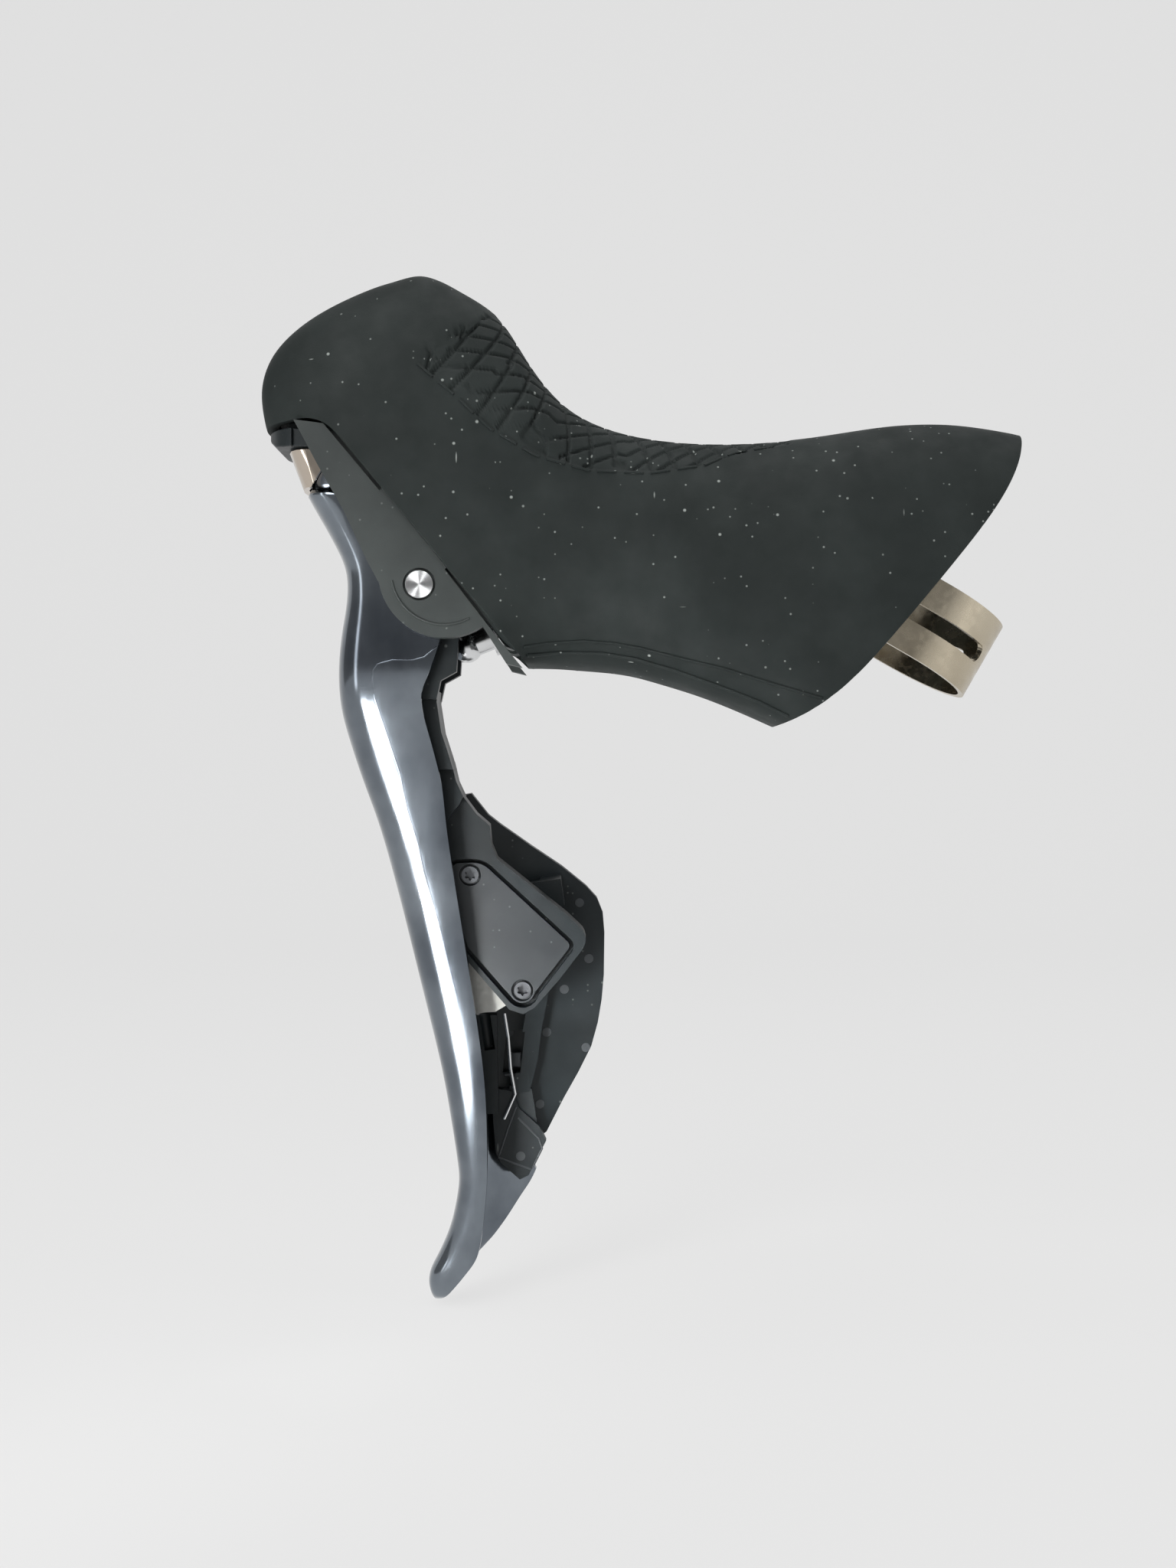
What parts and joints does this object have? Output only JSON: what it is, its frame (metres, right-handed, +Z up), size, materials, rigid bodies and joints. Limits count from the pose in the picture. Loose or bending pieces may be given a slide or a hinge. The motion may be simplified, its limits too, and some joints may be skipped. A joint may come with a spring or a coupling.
{
  "type": "electronic shift and brake lever",
  "caption": "Right-hand drop-bar brake lever with rubber hood, clamp band, hydraulic piston and two electronic shift paddles",
  "frame": {"origin": "centre of the bar clamp, on the bar's axis", "axes": "+X to the rear of the bicycle, +Y outward from its middle plane, +Z up"},
  "size_m": [0.1307, 0.0405, 0.1808],
  "materials": {
    "hood_rubber": "matte moulded rubber with faint pale dust",
    "grey_plastic": "fibre filled moulding, matte",
    "black_plastic": "moulded near black plastic, fine satin grain",
    "polished_blade": "polished and anodised blue grey, long soft reflections",
    "warm_chrome": "bright plated strip, slightly warm",
    "stainless_band": "rolled stainless strip with fine lengthwise lines",
    "turned_steel": "lathe turned bright steel",
    "dark_steel": "dark plated steel",
    "cast_metal": "fine cast light alloy, bare",
    "satin_plate": "dark satin lacquered plate",
    "bare_aluminium": "turned light alloy",
    "brass_contact": "bronze sheet and bush",
    "seal_rubber": "black sealing rubber",
    "board_green": "coated circuit board"
  },
  "bodies": {
    "bracket": {"bracket_body": "grey_plastic", "hood_cover": "hood_rubber", "nose_cover": "black_plastic", "clamp_band": "stainless_band", "clamp_nut": "dark_steel", "clamp_bolt": "dark_steel", "lever_axle": "turned_steel", "axle_screw": "dark_steel", "reach_screw": "dark_steel", "reservoir_diaphragm": "seal_rubber", "reservoir_lid": "black_plastic", "lid_screws": "turned_steel", "bleed_screw": "turned_steel", "hose_nut": "dark_steel", "battery_cover": "black_plastic", "battery_screws": "turned_steel", "coin_cells": "stainless_band", "battery_contact": "brass_contact", "circuit_board": "board_green", "board_cover": "black_plastic", "button_switch": "black_plastic", "piston_spring": "turned_steel"},
    "button": {"top_button": "black_plastic"},
    "piston": {"piston": "bare_aluminium", "piston_seals": "seal_rubber", "push_rod": "turned_steel"},
    "lever": {"brake_lever": "polished_blade", "trim_plate": "warm_chrome", "lever_bushings": "brass_contact", "switch_housing": "black_plastic", "switch_frame": "cast_metal", "switch_cover": "satin_plate", "cover_screws": "dark_steel", "paddle_pin": "turned_steel", "front_spring": "turned_steel", "rear_spring": "turned_steel"},
    "front_paddle": {"front_paddle": "black_plastic"},
    "rear_paddle": {"rear_paddle": "black_plastic"}
  },
  "joints": [
    {"name": "lever_pull", "type": "hinge", "parent": "bracket", "child": "lever", "pos_m": [-0.0855, 0, 0.006], "axis": [0, -1, 0], "range_deg": [0, 20], "stiffness_Nm_per_rad": 0.25, "springref_deg": -20.05},
    {"name": "piston_push", "type": "slide", "parent": "bracket", "child": "piston", "axis": [0.9272, 0, 0.3746], "range_m": [0, 0.0044], "deforming": ["piston_spring"]},
    {"name": "front_paddle_press", "type": "hinge", "parent": "lever", "child": "front_paddle", "pos_m": [-0.078, 0.01017, -0.05316], "axis": [0.1392, 0.0811, -0.9869], "range_deg": [0, 4], "stiffness_Nm_per_rad": 0.06, "springref_deg": -11.46, "deforming": ["front_spring"]},
    {"name": "rear_paddle_press", "type": "hinge", "parent": "lever", "child": "rear_paddle", "pos_m": [-0.078, 0.01017, -0.05316], "axis": [0.1392, 0.0811, -0.9869], "range_deg": [0, 4], "stiffness_Nm_per_rad": 0.06, "springref_deg": -11.46, "deforming": ["rear_spring"]},
    {"name": "top_button_press", "type": "slide", "parent": "bracket", "child": "button", "axis": [0, 1, 0], "range_m": [0, 0.0007], "stiffness_N_per_m": 400, "springref_m": -0.0007}
  ],
  "couplings": [
    {"joint": "piston_push", "follows": "lever_pull", "m_per_rad": 0.0125}
  ]
}
